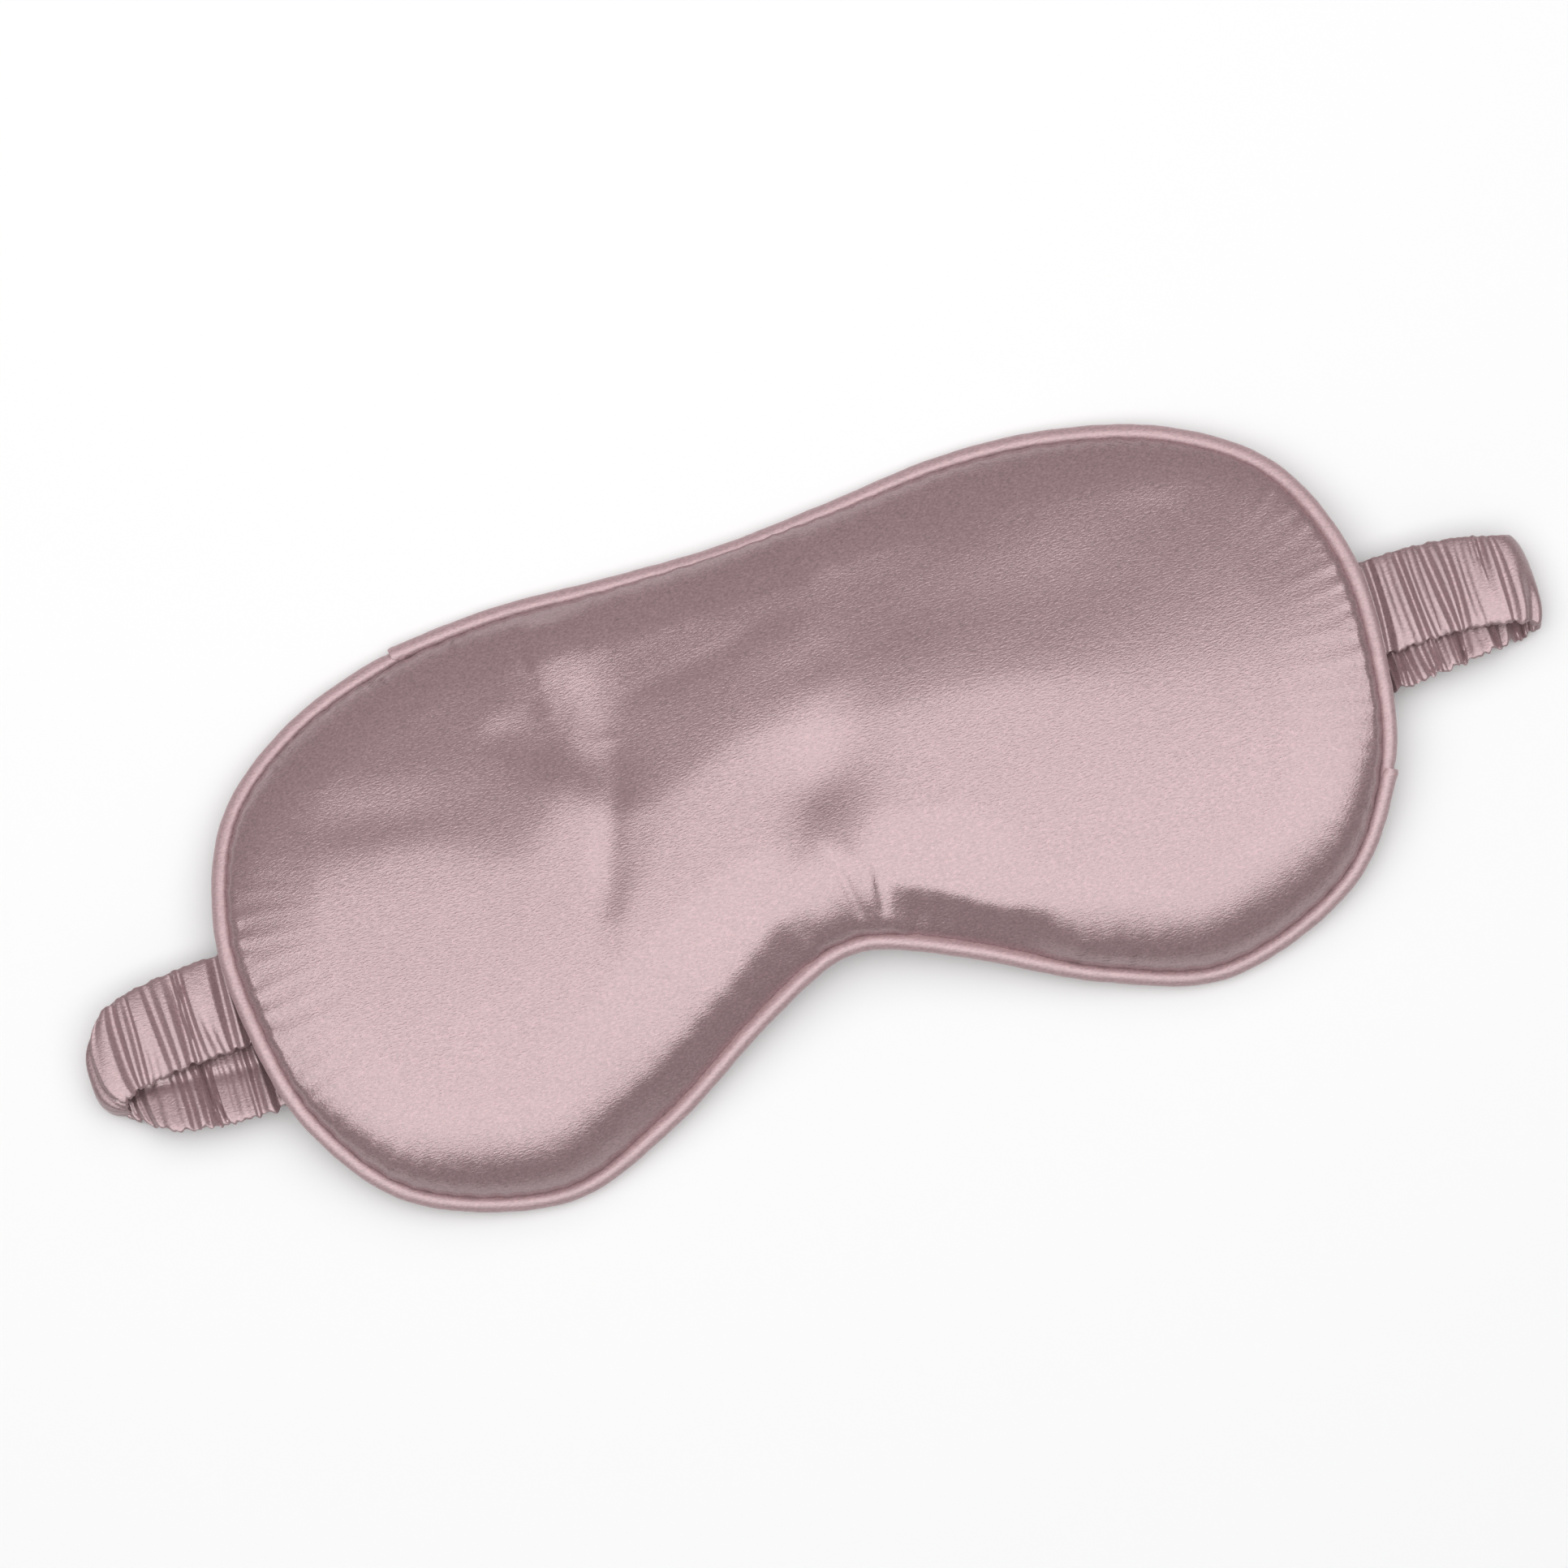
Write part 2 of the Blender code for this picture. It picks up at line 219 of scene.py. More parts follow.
def waves(position, spacing, seed, share=0.35):
    """Irregular ripples between -1 and 1 along a length, about spacing apart."""
    random = np.random.default_rng(seed)
    span = float(np.max(position) - np.min(position))
    count = int(span / spacing) + 6
    steps = spacing * (1 + share * (2 * random.random(count) - 1))
    crests = np.min(position) - 2 * spacing + np.cumsum(steps)
    phase = np.interp(position, crests, np.arange(count))
    height = np.interp(position, crests, 0.6 + 0.4 * random.random(count))
    return np.cos(2 * math.pi * phase) * height


EDGE = mask_edge()
ON_SEAM = 1e-6
PANEL_CENTRE = (0.0, 7.0)
PANEL_REACH = (96.0, 48.0)
RELAX_STEPS = 60
# Columns and rows of each panel's grid.
SIM_GRID = (121, 61)
FRONT_GRID = (261, 131)
LINING_GRID = (181, 91)


# ---------------------------------------------------------------- meshes

def add_mesh(name, points, faces, crease=None):
    """A smooth mesh from points in millimetres, sharp where faces meet at more than crease degrees."""
    mesh = bpy.data.meshes.new(name)
    mesh.from_pydata((np.asarray(points) * MM).tolist(), [], faces)
    mesh.update()
    mesh.shade_smooth()
    if crease:
        mesh.set_sharp_from_angle(angle=math.radians(crease))
    obj = bpy.data.objects.new(name, mesh)
    bpy.context.scene.collection.objects.link(obj)
    return obj


def grid_faces(rows, columns, closed=False, start=0):
    """Quads over a grid of points stored row by row; closed joins the last column to the first."""
    last = columns if closed else columns - 1
    row, column = np.meshgrid(np.arange(rows - 1), np.arange(last), indexing="ij")
    after = (column + 1) % columns
    quads = np.stack(
        [
            row * columns + column,
            row * columns + after,
            (row + 1) * columns + after,
            (row + 1) * columns + column,
        ],
        -1,
    ).reshape(-1, 4)
    return (quads + start).tolist()


def tube(name, sections):
    """A closed tube through equal rings of points, with a fan over each end."""
    rings = np.asarray(sections)
    rows, columns = rings.shape[:2]
    points = rings.reshape(-1, 3)
    faces = grid_faces(rows, columns, closed=True)
    ends = np.stack([rings[0].mean(0), rings[-1].mean(0)])
    first, last = len(points), len(points) + 1
    base = (rows - 1) * columns
    for k in range(columns):
        after = (k + 1) % columns
        faces.append([first, after, k])
        faces.append([last, base + k, base + after])
    obj = add_mesh(name, np.vstack([points, ends]), faces, 60)
    point_outward(obj)
    return obj


def point_outward(obj):
    """Turns a closed mesh's faces outwards."""
    mesh = obj.data
    volume = sum(f.center.dot(f.normal) * f.area for f in mesh.polygons)
    if volume < 0:
        mesh.flip_normals()


# ---------------------------------------------------------------- padded panels

def disc_grid(columns, rows):
    """A grid over a square, pressed into the unit disc."""
    s, t = np.meshgrid(np.linspace(-1, 1, columns), np.linspace(-1, 1, rows))
    return s * np.sqrt(1 - t * t / 2), t * np.sqrt(1 - s * s / 2)


def seam_line():
    """Where the panels meet the piping: a little uneven, and rolled outwards over it in the brow's dip."""
    at = np.append(0, np.cumsum(np.linalg.norm(np.diff(EDGE, axis=0), axis=1)))
    ends = np.minimum(ramp(at, 0, 8), 1 - ramp(at, at[-1] - 8, at[-1]))
    distance = SEAM_INSET + SEAM_WOBBLE * waves(at, 4.6, 3) * ends
    distance -= BROW_ROLL * np.exp(-(((EDGE[:, 0] - 2) / 24) ** 2)) * (EDGE[:, 1] > 0)
    return inset(EDGE, distance[:, None])


def panel_grid(columns, rows, seam):
    """A grid of plan points over the mask, its outer points on the seam."""
    u, v = disc_grid(columns, rows)
    centre = np.array(PANEL_CENTRE)
    edge = seam - centre
    angle = np.arctan2(edge[:, 1], edge[:, 0])
    order = np.argsort(angle)
    angle, reach = angle[order], np.hypot(*edge[order].T)
    angle = np.concatenate([angle - 2 * math.pi, angle, angle + 2 * math.pi])
    reach = np.tile(reach, 3)
    direction = np.arctan2(v * PANEL_REACH[1], u * PANEL_REACH[0])
    radius = np.hypot(u, v)
    out = np.interp(direction, angle, reach) * radius
    x = centre[0] + out * np.cos(direction)
    y = centre[1] + out * np.sin(direction)
    for _ in range(RELAX_STEPS):
        x[1:-1, 1:-1] = (x[:-2, 1:-1] + x[2:, 1:-1] + x[1:-1, :-2] + x[1:-1, 2:]) / 4
        y[1:-1, 1:-1] = (y[:-2, 1:-1] + y[2:, 1:-1] + y[1:-1, :-2] + y[1:-1, 2:]) / 4
    return x, y


def blurred(field, times):
    """A grid of values with each one averaged with its neighbours, many times over."""
    for _ in range(times):
        padded = np.pad(field, 1, mode="edge")
        field = (
            4 * field + padded[:-2, 1:-1] + padded[2:, 1:-1] + padded[1:-1, :-2] + padded[1:-1, 2:]
        ) / 8
    return field


def finer(field, columns, rows):
    """A grid of values resampled to more columns and rows."""
    old_rows, old_columns = field.shape
    at = np.linspace(0, old_columns - 1, columns)
    wide = np.stack([np.interp(at, np.arange(old_columns), row) for row in field])
    at = np.linspace(0, old_rows - 1, rows)
    return np.stack([np.interp(at, np.arange(old_rows), col) for col in wide.T], 1)


SIM_FRAMES = 20
SIM_SLACK = 0.02
SIM_PRESSURE = 4.0
PUCKER_LIMIT = 4.0
PUCKER_BLUR = 24


def puckers(x, y, z):
    """Blows out cloth of this shape, cut a little large and sewn down along its edge.

    Returns the height of its small puckers alone, on the same grid.
    """
    rows, columns = x.shape
    points = np.stack([x, y, z], -1).reshape(-1, 3)
    obj = add_mesh("cloth_trial", points, grid_faces(rows, columns))
    edge = np.zeros((rows, columns), bool)
    edge[0, :] = edge[-1, :] = edge[:, 0] = edge[:, -1] = True
    group = obj.vertex_groups.new(name="seam")
    group.add(np.flatnonzero(edge).tolist(), 1.0, "REPLACE")
    modifier = obj.modifiers.new("Cloth", "CLOTH")
    cloth = modifier.settings
    cloth.quality = 6
    cloth.mass = 0.15
    cloth.tension_stiffness = 25
    cloth.compression_stiffness = 25
    cloth.shear_stiffness = 8
    cloth.bending_stiffness = 0.05
    cloth.vertex_group_mass = "seam"
    cloth.shrink_min = -SIM_SLACK
    cloth.use_pressure = True
    cloth.uniform_pressure_force = SIM_PRESSURE
    cloth.effector_weights.gravity = 0
    scene = bpy.context.scene
    scene.frame_start, scene.frame_end = 1, SIM_FRAMES
    modifier.point_cache.frame_start, modifier.point_cache.frame_end = 1, SIM_FRAMES
    for step in range(1, SIM_FRAMES + 1):
        scene.frame_set(step)
    graph = bpy.context.evaluated_depsgraph_get()
    moved = obj.evaluated_get(graph).to_mesh()
    after = np.empty(len(moved.vertices) * 3)
    moved.vertices.foreach_get("co", after)
    scene.frame_set(1)
    bpy.data.objects.remove(obj)
    rise = (after.reshape(rows, columns, 3) / MM)[..., 2] - z
    rise = np.clip(rise, -PUCKER_LIMIT, PUCKER_LIMIT)
    return rise - blurred(rise, PUCKER_BLUR)


def shell(name, top, bottom):
    """A closed body between two grids of points whose outer points are the same."""
    rows, columns = top.shape[:2]
    points = np.vstack([top.reshape(-1, 3), bottom.reshape(-1, 3)])
    count = rows * columns
    index = np.arange(count).reshape(rows, columns)
    under = index + count
    under[0, :], under[-1, :] = index[0, :], index[-1, :]
    under[:, 0], under[:, -1] = index[:, 0], index[:, -1]
    faces = grid_faces(rows, columns)
    for r in range(rows - 1):
        for c in range(columns - 1):
            quad = [under[r, c], under[r + 1, c], under[r + 1, c + 1], under[r, c + 1]]
            faces.append([int(k) for k in quad])
    used = np.unique(np.array(faces).ravel())
    renumbered = np.zeros(len(points), int)
    renumbered[used] = np.arange(len(used))
    obj = add_mesh(name, points[used], renumbered[np.array(faces)].tolist(), 50)
    point_outward(obj)
    return obj


def along_edge(x, y):
    """How far round the mask's edge each point lies, in millimetres from the brow's dip."""
    loop = evenly_spaced(EDGE, 540)
    best = np.full(x.shape, np.inf)
    station = np.zeros(x.shape)
    for k, (px, py) in enumerate(loop):
        gap = (x - px) ** 2 + (y - py) ** 2
        nearer = gap < best
        best = np.where(nearer, gap, best)
        station = np.where(nearer, k, station)
    length = np.linalg.norm(np.roll(loop, -1, 0) - loop, axis=1).sum()
    return station * length / len(loop)


def tilt(x, y, centre, size, angle=0.0):
    """A soft patch that climbs 1 mm per mm towards +Y at its centre, turned by angle, and fades out."""
    turn = math.radians(angle)
    dx, dy = x - centre[0], y - centre[1]
    along = dy * math.cos(turn) - dx * math.sin(turn)
    across = dx * math.cos(turn) + dy * math.sin(turn)
    return along * np.exp(-((along / size[0]) ** 2) - (across / size[1]) ** 2)


def front_relief(x, y, d):
    """Dents, folds and the valley over the nose, placed after the photograph."""
    z = -0.5 * np.exp(-(((x - 5) / 16) ** 2)) * ramp(-y, -42, 24)
    # Soft dent over the nose, and the folds from it down to the notch.
    z -= 0.115 * tilt(x, y, (5, -3), (15, 7), -20)
    z -= 0.04 * tilt(x, y, (2, -1.5), (7, 3.5), -20)
    z -= 0.5 * blob(x, y, (2, 5), (9, 8))
    z -= 0.5 * fold(x, y, [(1, -8), (2.5, -15), (3.5, -23)], 0.9)
    z += 0.35 * fold(x, y, [(5, -9), (6, -16), (5.5, -23)], 1.1)
    z -= 0.5 * fold(x, y, [(9, -9), (8.5, -15), (7, -23)], 0.9)
    # At the left of the brow, a flat facet beside a crease, with a dent and a long fold below them.
    z += 0.17 * tilt(x, y, (-31, 33), (16, 7), 5)
    z -= 0.8 * fold(x, y, [(-38, 47), (-38.5, 38), (-38, 29)], 1.6)
    z += 0.09 * tilt(x, y, (-46, 31), (4, 3.5))
    z -= 0.1 * tilt(x, y, (-39.5, 21.5), (7, 6))
    z += 0.1 * tilt(x, y, (-33.5, 22), (6, 2.2))
    z -= 0.9 * fold(x, y, [(-29, 23), (-30.5, 14), (-33, 7), (-36.5, -1), (-39, -9)], 2.8)
    z -= 0.25 * fold(x, y, [(-27, 9), (-31, 2), (-37, -6)], 2.8)
    z -= 0.12 * fold(x, y, [(-29, 27), (-18, 29), (-6, 30), (3, 33), (14, 33)], 2.2)
    # Streaks over the left eye, and soft waves along the brow.
    z += 0.06 * tilt(x, y, (-71, 26), (6, 15), -12)
    z -= 0.03 * tilt(x, y, (-71, 19), (4, 12), -12)
    z -= 0.03 * tilt(x, y, (-95, 25), (9, 6), 30)
    z += 0.05 * tilt(x, y, (-14, 36), (7, 12))
    z -= 0.05 * tilt(x, y, (5, 31.5), (8, 5))
    z -= 0.06 * tilt(x, y, (8, 21), (5, 7))
    z += 0.05 * tilt(x, y, (22, 38), (7, 8))
    z -= 0.04 * tilt(x, y, (28, 22), (7, 14))
    z += 0.05 * tilt(x, y, (55, 28), (10, 18))
    z += 0.06 * tilt(x, y, (76, 34), (7, 12), -15)
    z -= 0.3 * blob(x, y, (11, 43), (2.6, 4.0))
    z += 0.3 * blob(x, y, (16, 42.5), (3.0, 4.0))
    z -= 0.3 * blob(x, y, (41, 41), (5.0, 5.0), 40)
    return z * ramp(d, 0.0, 5.0)


# Where the front starts to turn down towards the brow, from the left side to the right.
CROWN_LINE = [
    (-104, 17),
    (-86, 16),
    (-66, 16),
    (-57, 11),
    (-50, 7),
    (-42, 12),
    (-36, 14),
    (-28, 8),
    (-18, 11),
    (-6, 16),
    (8, 12.5),
    (24, 11.5),
    (42, 10),
    (60, 4),
    (82, 0),
    (104, -4),
]


def crown(x, y):
    """The front's turn down towards the brow, crisp in the middle and softer to both sides."""
    at, line = np.array(CROWN_LINE, float).T
    start = sum(np.interp(x + shift, at, line) for shift in (-4, -2, 0, 2, 4)) / 5
    past = y - start
    soft = CROWN_SOFTNESS + 6.0 * ramp(x, 36, 80) + 2.5 * ramp(-x, 34, 60)
    return -CROWN_SLOPE * (np.sqrt(past**2 + soft**2) + past) / 2


FLANK_SLOPE = 0.09


def flank_rise(d, foot, soft):
    """An even climb from the seam to a knee at foot, and slowly on to the full height."""
    past = d - foot
    knee = FLANK_SLOPE * (d - (np.sqrt(past**2 + soft**2) + past) / 2 + soft**2 / 4 / foot)
    knee += (1 - FLANK_SLOPE * foot) * ramp(d, -4, 26)
    return knee * ramp(d, -1.5, 1.5)


def pad_rise(x, y, d):
    """The pad's height inside its seam, as a share of the full height."""
    share = np.clip(d / (PUFF_REACH - 6.0 * ramp(y, 14, 34)), 0, 1)
    rise = lens(share)
    at_side = ramp(np.abs(x), 58, 82) * (1 - ramp(y, 14, 34)) * (1 - ramp(-y, 12, 32))
    gentle = 0.3 * ramp(d, -0.6, 1.4) + 0.7 * (1 - (1 - share) ** 1.5)
    rise += (gentle - rise) * at_side
    # Beside the nose notch it climbs evenly to a knee: soft on the left, crisp on the right.
    left_foot = 6.4 + 2.4 * np.exp(-(((x + 11) / 8) ** 2))
    right_foot = 8.4 - 1.5 * np.exp(-(((x - 26) / 6) ** 2))
    flanks = [
        (ramp(-x, 3, 11) * (1 - ramp(-x, 40, 62)), left_foot, 2.4),
        (ramp(x, 8, 12) * (1 - ramp(x, 28, 39)), right_foot, 1.2),
    ]
    for weight, foot, soft in flanks:
        weight = weight * ramp(-y, 2, 10) * (1 - ramp(d, 18, 26))
        rise += (flank_rise(d, foot, soft) - rise) * weight
    return rise


def front_height(x, y, d):
    """Height of the front without its folds, at distance d inside the seam."""
    edge = rim(y) + FRONT_SEAM_LIFT
    full = RIM_HEIGHT + FRONT_PUFF - ARCH_IN_FRONT * (RIM_HEIGHT - rim(y)) + crown(x, y)
    return edge + (full - edge) * pad_rise(x, y, d)


def front_panel():
    """The front and the wadding under it as one closed pad."""
    seam = seam_line()
    x, y = panel_grid(*SIM_GRID, seam)
    small = puckers(x, y, front_height(x, y, distance_to(seam, x, y)))
    x, y = panel_grid(*FRONT_GRID, seam)
    d = distance_to(seam, x, y)
    z = front_height(x, y, d) + front_relief(x, y, d)
    # The simulated puckers show most near the seam, and least at the sides.
    strength = (0.04 + 0.08 * (1 - ramp(d, 5, 14))) * (1 - 0.85 * ramp(np.abs(x), 70, 92))
    z += finer(small, *FRONT_GRID) * ramp(d, 0, 3) * strength
    ripple = waves(along_edge(x, y), 3.4, 5) * (1 - 0.8 * blob(x, y, (0, -30), (40, 14)))
    z += 0.1 * ripple * np.exp(-(((d - 1.4) / 1.8) ** 2)) * ramp(d, 0, 0.6)
    base = rim(y) - 1.45 - 2.4 * lens(d / LINING_REACH)
    under = np.minimum(np.maximum(base, CLEARANCE) + BLACKOUT_ABOVE_LINING, z - FRONT_THINNEST)
    under = np.where(d < ON_SEAM, z, under)
    obj = shell("padded_front", np.stack([x, y, z], -1), np.stack([x, y, under], -1))
    finish(obj, "front_satin", ["front_panel", "wadding"])
    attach(obj, "mask")


def lining_panel():
    """The satin against the face: it hangs below the rim, and is lifted clear where the strap passes."""
    seam = inset(EDGE, SEAM_INSET)
    x, y = panel_grid(*LINING_GRID, seam)
    d = distance_to(seam, x, y)
    low = np.maximum(rim(y) - LINING_SEAM_DROP - LINING_PUFF * lens(d / LINING_REACH), CLEARANCE)
    near_strap = ramp(np.abs(x), 88, 95) * (1 - ramp(np.abs(y - ARM_Y), 11, 18))
    low = low + (POCKET_Z - low) * near_strap
    ripple = waves(along_edge(x, y), 4.1, 9)
    low = low + 0.12 * ripple * np.exp(-(((d - 3) / 3.0) ** 2)) * ramp(d, 0, 1.0)
    low = low + 0.25 * fold(x, y, [(4, -24), (5, -8), (8, 20), (6, 45)], 2.6)
    low = low + 0.2 * fold(x, y, [(-60, 30), (-40, 10), (-22, -20)], 2.4)
    low = np.maximum(low, CLEARANCE)
    high = low + np.where(d < ON_SEAM, 0, LINING_CLOTH)
    obj = shell("lining_cloth", np.stack([x, y, high], -1), np.stack([x, y, low], -1))
    finish(obj, "lining_satin", ["lining"])
    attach(obj, "mask")


# ---------------------------------------------------------------- piping

PIPING_STEP = 0.7
PIPING_RING = 18
PIPING_OVERLAP = 3
FOLD_STEP_OUT = 0.55
LOWEST_PIPING = 0.02


def piping_length(name, first_join, last_join, node, seed):
    """One satin strip round the cord. Its first end is folded back over the last end of the other."""
    loop = inset(EDGE, PIPING_RADIUS)
    total = np.linalg.norm(np.roll(loop, -1, 0) - loop, axis=1).sum()
    count = int(total / PIPING_STEP)
    centre = evenly_spaced(loop, count)
    start = int(np.hypot(*(centre - first_join).T).argmin())
    stop = int(np.hypot(*(centre - last_join).T).argmin())
    number = (stop - start) % count + int(PIPING_OVERLAP / PIPING_STEP)
    picked = centre[(start + np.arange(number)) % count]
    along = picked[1:] - picked[:-1]
    along = np.vstack([along, along[-1:]])
    along /= np.linalg.norm(along, axis=1)[:, None]
    outward = np.stack([-along[:, 1], along[:, 0]], 1)
    at = np.arange(number) * PIPING_STEP
    angle = np.linspace(0, 2 * math.pi, PIPING_RING, endpoint=False)
    radius = np.full((number, PIPING_RING), PIPING_RADIUS)
    # Slow and quick unevenness, the folded end's ridge, and the far end tucked inside the other strip.
    radius += 0.035 * waves(at, 7.0, seed)[:, None]
    radius += 0.05 * waves(at, 2.6, seed + 1)[:, None] * (0.35 - 0.65 * np.cos(angle))
    radius += 0.2 * np.exp(-((at / 1.1) ** 2))[:, None]
    radius[0] *= 0.86
    tucked = ramp(at, at[-1] - 4.0, at[-1] - 2.6)
    radius *= (1 - 0.16 * tucked)[:, None]
    z = rim(picked[:, 1])[:, None] + radius * np.sin(angle)
    reach = radius * np.cos(angle) + FOLD_STEP_OUT * np.exp(-at / 6.0)[:, None]
    x = picked[:, :1] + outward[:, :1] * reach
    y = picked[:, 1:] + outward[:, 1:] * reach
    obj = tube(name, np.stack([x, y, np.maximum(z, LOWEST_PIPING)], -1))
    finish(obj, "piping_satin", [node])
    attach(obj, "mask")


# ---------------------------------------------------------------- strap

STRAP_STEP = 0.25
STRAP_RING = 80
# The centreline's first points: their step on the straights, and their number in the turn.
LINE_STEP = 0.1
TURN_POINTS = 80
# How far out the pieces meet each other, and how far the last one runs past the middle.
PIECE_ENDS = 115.0
CENTRE_OVERRUN = 2.4
SEAM_START = 99.0
SEWN_THINNING = 1.1
BANK_RISE = 3.2
LOWEST_STRAP = 0.03
# The tube's faces are flatter the smaller the power, and its ridges stand this far out.
FACE_POWER = 0.42
TUBE_SHARE = 0.8
RIDGE_RISE = 0.45
SEAM_RIDGE = 0.45
SEAM_RIDGE_WIDTH = 0.1
# The gathers begin where the strap comes out from under the piping.
GATHER_START = 100.5
GATHER_FULL = 103.5
FIRST_STRETCH = 60
# Mean distance between the creases of the outer face, and how far the edges are drawn in at the turn.
PLEAT_SPACING = {"left": 2.8, "right": 2.1}
INNER_SPACING = 1.9
TURN_PULL = {"left": 3.2, "right": 0.7}
PLEAT_SEED = {"left": 21, "right": 34}
# Where the hinges are, and how far the cloth bends to each side of them.
SWING_X = 104.0
SWING_BLEND = 2.5
TURN_BLEND = 1.1
BEND_X = 16.5
BEND_BLEND = 5.0
# The strap's y at the mask, at the start and end of the turn, and along the band behind the mask.
STRAP_Y = {"left": (0.5, -2.2, -9.0, -12.2), "right": (1.3, -1.6, -3.6, -4.7)}


def strap_line(side):
    """The strap's centreline from the mask's edge out, round the turn and back to the middle.

    Each row is x (distance out), y, z, the outward direction's x and z, and the thickness.
    """
    arm_y, turn_y, after_y, band_y = STRAP_Y[side]
    rows = []
    for x in np.arange(SEAM_START, TURN_X, LINE_STEP):
        t = (x - ARM_START_X) / (TURN_X - ARM_START_X)
        t0 = max(t, 0)
        z = ARM_START_Z + (TURN_Z + TURN_RADIUS - ARM_START_Z) * t0
        thick = STRAP_AT_SEAM + (STRAP_THICKNESS - STRAP_AT_SEAM) * float(ramp(t, 0, 0.4))
        thick -= SEWN_THINNING * float(1 - ramp(x, SEAM_START, 106.0))
        rows.append((x, arm_y + (turn_y - arm_y) * t0**3, z, 0, 1, thick))
    for angle in np.linspace(math.pi / 2, -math.pi / 2, TURN_POINTS):
        share = 0.5 - angle / math.pi
        out, up = math.cos(angle), math.sin(angle)
        y = turn_y + (after_y - turn_y) * share
        rows.append(
            (TURN_X + TURN_RADIUS * out, y, TURN_Z + TURN_RADIUS * up, out, up, STRAP_THICKNESS)
        )
    middle_y = (STRAP_Y["left"][3] + STRAP_Y["right"][3]) / 2
    for x in np.arange(TURN_X - LINE_STEP, -CENTRE_OVERRUN, -LINE_STEP):
        reach = x / TURN_X
        y = middle_y + (band_y - middle_y) * reach
        y += (after_y - band_y) * float(ramp(reach, 0.8, 1))
        rows.append((x, y, BAND_Z, 0, -1, STRAP_THICKNESS))
    line = np.array(rows)
    step = np.linalg.norm(np.diff(line[:, :3], axis=0), axis=1)
    at = np.append(0, np.cumsum(step))
    count = int(at[-1] / STRAP_STEP)
    even = np.linspace(0, at[-1], count)
    return even, np.stack([np.interp(even, at, line[:, k]) for k in range(6)], 1)


def pleats(at, across, spacing, seed):
    """Depth of the gathers: round ridges with creases between them, some of which reach only half across."""
    random = np.random.default_rng(seed)
    count = int(at[-1] / spacing * 1.3) + 6
    place = np.cumsum(spacing * (0.5 + 1.0 * random.random(count) ** 1.5)) - 2 * spacing
    lean, bow = 0.16 * spacing * random.normal(size=(2, count))
    deep = 0.35 + 0.75 * random.random(count)
    side = np.where(random.random(count) < 0.3, np.sign(random.random(count) - 0.5), 0)
    depth = np.zeros((len(at), len(across)))
    for k, share in enumerate(across):
        line = np.maximum.accumulate(place + lean * share + bow * share**2)
        line += 0.02 * np.arange(count)
        phase = np.interp(at, line, np.arange(count))
        nearest = np.clip(np.round(phase).astype(int), 0, count - 1)
        fade = np.where(side == 0, 1.0, ramp(side * share, -0.5, 0.9))
        off = 2 * np.abs(phase - nearest)
        depth[:, k] = (deep * fade)[nearest] * (1 - np.minimum(off, 1) ** 2) ** 2.6
    return depth


def strap_rings(side):
    """Rings of points along one half of the strap, gathered, with where each lies and where it turns."""
    at, line = strap_line(side)
    x, y, z, out_x, out_z, thick = line.T
    pull = TURN_PULL[side]
    seed = PLEAT_SEED[side]
    # A flat tube: nearly straight faces and round edges.
    angle = np.linspace(0, 2 * math.pi, STRAP_RING, endpoint=False)
    across, high = np.cos(angle), np.sin(angle)
    upward = np.sign(high) * np.abs(high) ** FACE_POWER
    outer = pleats(at, across, PLEAT_SPACING[side], seed)
    inner = pleats(at, across, INNER_SPACING, seed + 7)
    turn_at = at[np.argmax(x)]
    free = np.where(at < FIRST_STRETCH, ramp(x, GATHER_START, GATHER_FULL), 1.0)
    behind = ramp(at, turn_at + 4, turn_at + 12)
    depth = np.where(high[None, :] >= 0, outer * (1.4 - 0.8 * behind)[:, None], 1.15 * inner)
    rise = (RIDGE_RISE - depth) * free[:, None]
    near_turn = np.exp(-(((at - turn_at) / 6.5) ** 2))
    # Half the width at each ring: its edges are frilled, and drawn in where a crease reaches them.
    frill = 0.18 * waves(at, 1.5, seed + 3) + 0.2 * waves(at, 3.7, seed + 4)
    lower = across[None, :] < 0
    half = STRAP_WIDTH / 2 - 0.05 + 0.2 * np.sin(at / 6.5) * free
    half = half[:, None] + np.where(lower, 1.0, 0.35) * (frill * free)[:, None]
    half = half - np.where(lower, 0.55, 0.25) * outer * free[:, None]
    # The left loop is rounded off where the band comes out of its turn.
    rounding = np.exp(-(((at - turn_at - 4.5) / 5.8) ** 2)) * (1.35 * pull - 0.9)
    half = half + np.where(lower, 0.6, 0.0) * behind[:, None] * (pull - 0.7) / 2.5
    half = half - np.where(lower, -across, 0) * rounding[:, None]
    offset = upward[None, :] * (thick / 2)[:, None] * TUBE_SHARE
    offset = offset + upward[None, :] * rise
    # The sleeve's own seam runs as a small ridge along the inner face.
    seam = np.exp(-((across / SEAM_RIDGE_WIDTH) ** 2))[None, :] * (high < 0)[None, :]
    offset = offset + SEAM_RIDGE * seam * (free * (1 + 0.4 * waves(at, 1.9, seed + 5)))[:, None]
    # Behind the turn no ridge goes below the table, and beside the mask the band is banked, lower edge up.
    banked = behind * (1 - 0.82 * ramp(-x, -104.5, -99.5) - 0.18 * ramp(-x, -101, -84))
    limit = np.where(at > turn_at + 9, BAND_Z - 0.05, 9.0)
    offset = np.where(high[None, :] > 0, np.minimum(offset, limit[:, None]), offset)
    offset = offset - BANK_RISE * (1 - across[None, :]) / 2 * banked[:, None]
    inward = pull * np.abs(across[None, :]) ** 3.2 * near_turn[:, None]
    px = x[:, None] + out_x[:, None] * offset - inward
    py = y[:, None] + half * across[None, :]
    pz = np.maximum(z[:, None] + out_z[:, None] * offset, LOWEST_STRAP)
    return at, turn_at, x, np.stack([SIDES[side] * px, py, pz], -1)


